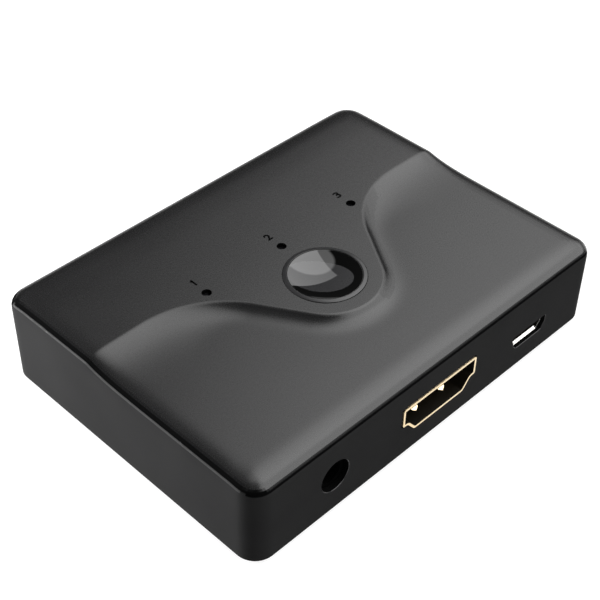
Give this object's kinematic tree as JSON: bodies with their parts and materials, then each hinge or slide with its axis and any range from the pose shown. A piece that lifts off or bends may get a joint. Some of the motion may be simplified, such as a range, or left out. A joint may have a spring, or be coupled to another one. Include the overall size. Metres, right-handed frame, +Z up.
{
  "type": "video switch box",
  "caption": "Low black box with a dished selector button on a tongue-shaped plateau, lamp holes, and video, remote and power sockets in its walls.",
  "frame": {"origin": "under the middle of the case, on the surface that its feet stand on", "axes": "+X along the front wall to the right, -Y out of the front wall with the output socket, +Z up"},
  "size_m": [0.07, 0.0514, 0.0156],
  "materials": {
    "case_black": "satin black moulded plastic",
    "dish_black": "polished black plastic",
    "socket_gold": "gold-plated sheet",
    "contact_gold": "gold-plated contacts",
    "socket_black": "black moulded insulator",
    "nickel": "nickel-plated sheet",
    "tinned": "tinned leads",
    "screw_steel": "zinc-plated steel",
    "foot_rubber": "matt black rubber",
    "board_green": "solder mask on glass laminate",
    "chip_black": "moulded chip package",
    "smoked_guide": "smoked clear plastic",
    "lamp_white": "lamp package",
    "can_aluminium": "drawn can",
    "capacitor_tan": "ceramic body"
  },
  "bodies": {
    "case": {"top_cover": "case_black", "base_plate": "case_black", "case_screws": "screw_steel", "rubber_feet": "foot_rubber", "main_board": "board_green", "remote_jack_body": "socket_black", "remote_jack_contacts": "tinned", "power_shell": "nickel", "power_insulator": "socket_black", "power_contacts": "contact_gold", "switch_base": "chip_black", "switch_frame": "nickel", "switch_dome": "nickel", "switch_legs": "tinned", "light_guide": "smoked_guide", "port_lamps": "lamp_white", "switch_chip": "chip_black", "switch_chip_pins": "tinned", "memory_chips": "chip_black", "memory_chip_pins": "tinned", "regulator": "chip_black", "regulator_pins": "tinned", "filter_capacitor": "can_aluminium", "filter_capacitor_base": "chip_black", "crystal": "nickel", "chip_capacitors": "capacitor_tan", "output_shell": "socket_gold", "output_insulator": "socket_black", "output_contacts": "contact_gold", "input_1_shell": "socket_gold", "input_1_insulator": "socket_black", "input_1_contacts": "contact_gold", "input_2_shell": "socket_gold", "input_2_insulator": "socket_black", "input_2_contacts": "contact_gold", "input_3_shell": "socket_gold", "input_3_insulator": "socket_black", "input_3_contacts": "contact_gold"},
    "select_button": {"button_cap": "case_black", "button_dish": "dish_black", "switch_plunger": "chip_black"}
  },
  "joints": [
    {"name": "button_press", "type": "slide", "parent": "case", "child": "select_button", "axis": [0, 0, -1], "range_m": [0, 0.0003], "stiffness_N_per_m": 400, "springref_m": -0.002, "deforming": ["switch_dome"]}
  ]
}
